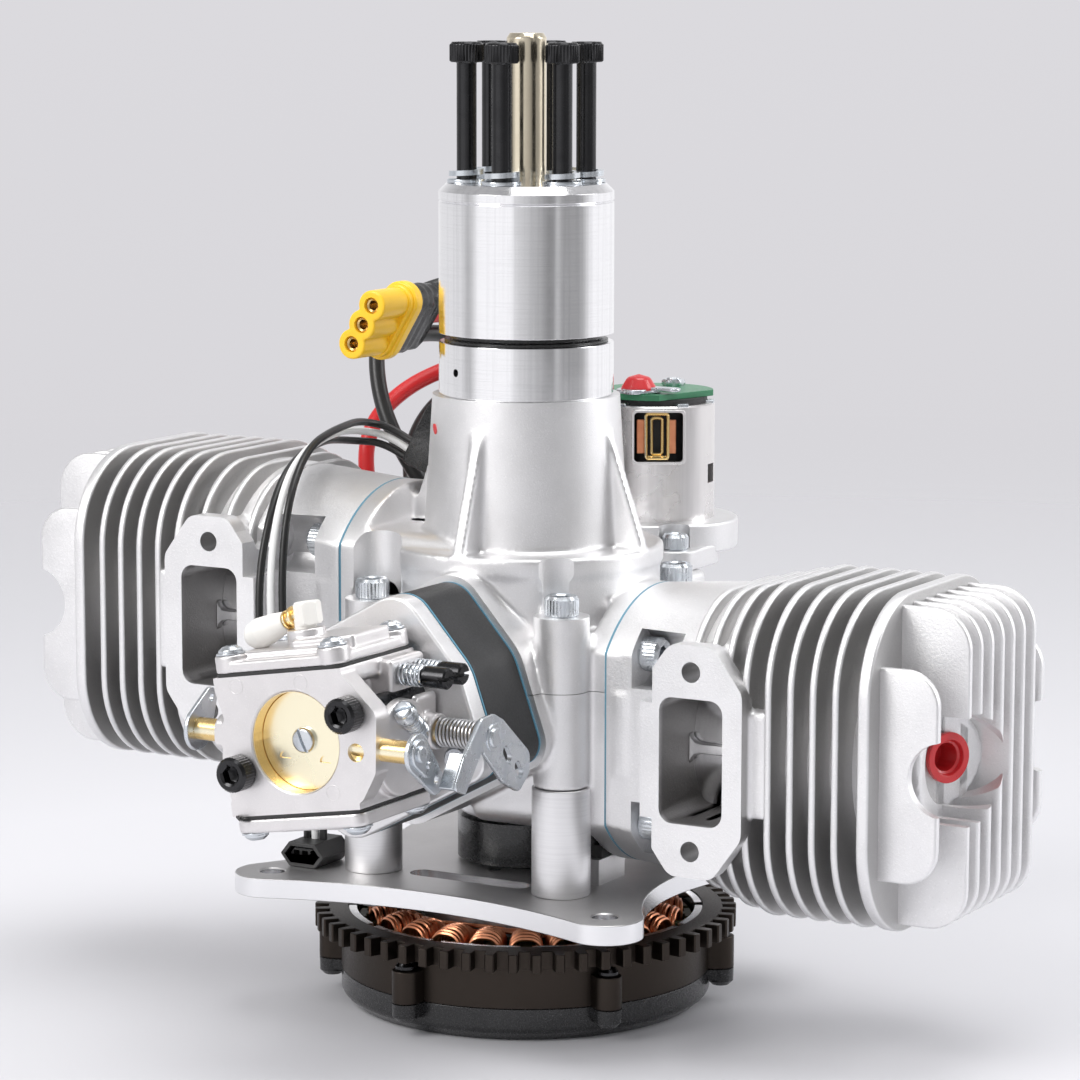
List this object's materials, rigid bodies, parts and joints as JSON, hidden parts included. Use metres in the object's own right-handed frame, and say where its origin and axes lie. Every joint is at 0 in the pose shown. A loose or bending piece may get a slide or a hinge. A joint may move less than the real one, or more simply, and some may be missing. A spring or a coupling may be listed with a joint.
{
  "type": "flat twin aircraft engine",
  "caption": "Flat two stroke aircraft engine with opposed finned cylinders, side carburettor, propeller hub and a geared starter generator behind the mounting plate.",
  "frame": {"origin": "centre of the mounting plate's bolt pattern, in the plate's rear face, on the crank axis", "axes": "+Z along the crank axis towards the propeller, +X towards the right cylinder, ports and carburettor towards -Y"},
  "size_m": [0.262, 0.1885, 0.2456],
  "materials": {
    "cast_case": "bead blasted casting",
    "cast_cylinder": "rough casting",
    "cast_carburettor": "fine die casting",
    "plate_blasted": "blasted faces, machined edges",
    "turned_aluminium": "turned, bright",
    "tube_satin": "satin",
    "zinc_screw": "zinc plated",
    "black_screw": "black oxide",
    "pin_nickel": "polished nickel",
    "ground_steel": "ground",
    "rubber_seal": "oiled rubber",
    "gasket_blue": "gasket sheet",
    "gasket_black": "gasket sheet",
    "insulator": "filled resin, matte",
    "red_plastic": "moulded",
    "white_plastic": "moulded",
    "brass": "turned",
    "phosphate": "phosphated steel",
    "black_paint": "satin black",
    "magnet": "nickel plated",
    "lamination": "green insulating varnish",
    "copper": "enamelled wire",
    "starter_steel": "nickel plated",
    "board_green": "fibre board",
    "sensor_black": "moulded",
    "yellow_plastic": "moulded nylon",
    "boot_black": "shrink sleeve",
    "lead_black": "silicone",
    "lead_red": "silicone",
    "wire_white": "silicone"
  },
  "bodies": {
    "engine": {"mounting_plate": "plate_blasted", "pillar_tubes": "tube_satin", "pillar_bolts": "zinc_screw", "crankcase_front": "cast_case", "crankcase_rear": "cast_case", "front_sleeve": "turned_aluminium", "main_bearings": "ground_steel", "shaft_seals": "rubber_seal", "right_cylinder": "cast_cylinder", "left_cylinder": "cast_cylinder", "gaskets": "gasket_blue", "cylinder_screws": "zinc_screw", "plug_caps": "red_plastic", "insulator_block": "insulator", "intake_adaptor": "cast_carburettor", "small_screws": "zinc_screw", "carburettor_body": "cast_carburettor", "carburettor_gaskets": "gasket_black", "carburettor_covers": "cast_carburettor", "cover_screws": "zinc_screw", "carburettor_screws": "black_screw", "fuel_inlet": "white_plastic", "adjusting_screws": "zinc_screw", "throttle_spring": "ground_steel", "stator_core": "lamination", "stator_coils": "copper", "stator_carrier": "tube_satin", "starter_can": "starter_steel", "starter_bracket": "cast_case", "starter_end": "board_green", "sensor_mount": "plate_blasted", "hall_sensor": "sensor_black", "sensor_plug": "sensor_black", "lead_guard": "black_paint", "connector_housing": "yellow_plastic", "connector_sockets": "brass", "connector_boot": "boot_black", "first_lead": "lead_black", "second_lead": "lead_red", "third_lead": "lead_black", "first_wire": "lead_black", "second_wire": "wire_white", "third_wire": "lead_black"},
    "crank": {"crankshaft": "ground_steel", "prop_hub": "turned_aluminium", "centre_pin": "pin_nickel", "prop_bolts": "black_screw", "bolt_washers": "zinc_screw", "trigger_ring": "tube_satin", "rotor_ring": "phosphate", "rotor_cap": "black_paint", "rotor_magnets": "magnet", "rotor_screws": "black_screw"},
    "right_piston_body": {"right_piston": "turned_aluminium"},
    "left_piston_body": {"left_piston": "turned_aluminium"},
    "choke": {"choke_valve": "brass", "choke_levers": "zinc_screw"},
    "throttle": {"throttle_valve": "brass", "throttle_lever": "zinc_screw"},
    "starter_gear": {"starter_drive": "ground_steel"}
  },
  "joints": [
    {"name": "crank_spin", "type": "hinge", "parent": "engine", "child": "crank", "pos_m": [0, 0, 0], "axis": [0, 0, 1], "continuous": true},
    {"name": "right_piston_slide", "type": "slide", "parent": "engine", "child": "right_piston_body", "axis": [1, 0, 0], "range_m": [-0.017, 0.017]},
    {"name": "left_piston_slide", "type": "slide", "parent": "engine", "child": "left_piston_body", "axis": [-1, 0, 0], "range_m": [-0.017, 0.017]},
    {"name": "choke_turn", "type": "hinge", "parent": "engine", "child": "choke", "pos_m": [0, -0.0972, 0.052], "axis": [1, 0, 0], "range_deg": [0, 80]},
    {"name": "throttle_turn", "type": "hinge", "parent": "engine", "child": "throttle", "pos_m": [0, -0.072, 0.052], "axis": [-1, 0, 0], "range_deg": [0, 75], "stiffness_Nm_per_rad": 0.02, "springref_deg": -17.19},
    {"name": "starter_spin", "type": "hinge", "parent": "engine", "child": "starter_gear", "pos_m": [0.0048, 0.06101, 0], "axis": [0, 0, 1], "continuous": true}
  ],
  "couplings": [
    {"joint": "left_piston_slide", "follows": "right_piston_slide", "ratio": 1},
    {"joint": "starter_spin", "follows": "crank_spin", "ratio": -5.8}
  ]
}
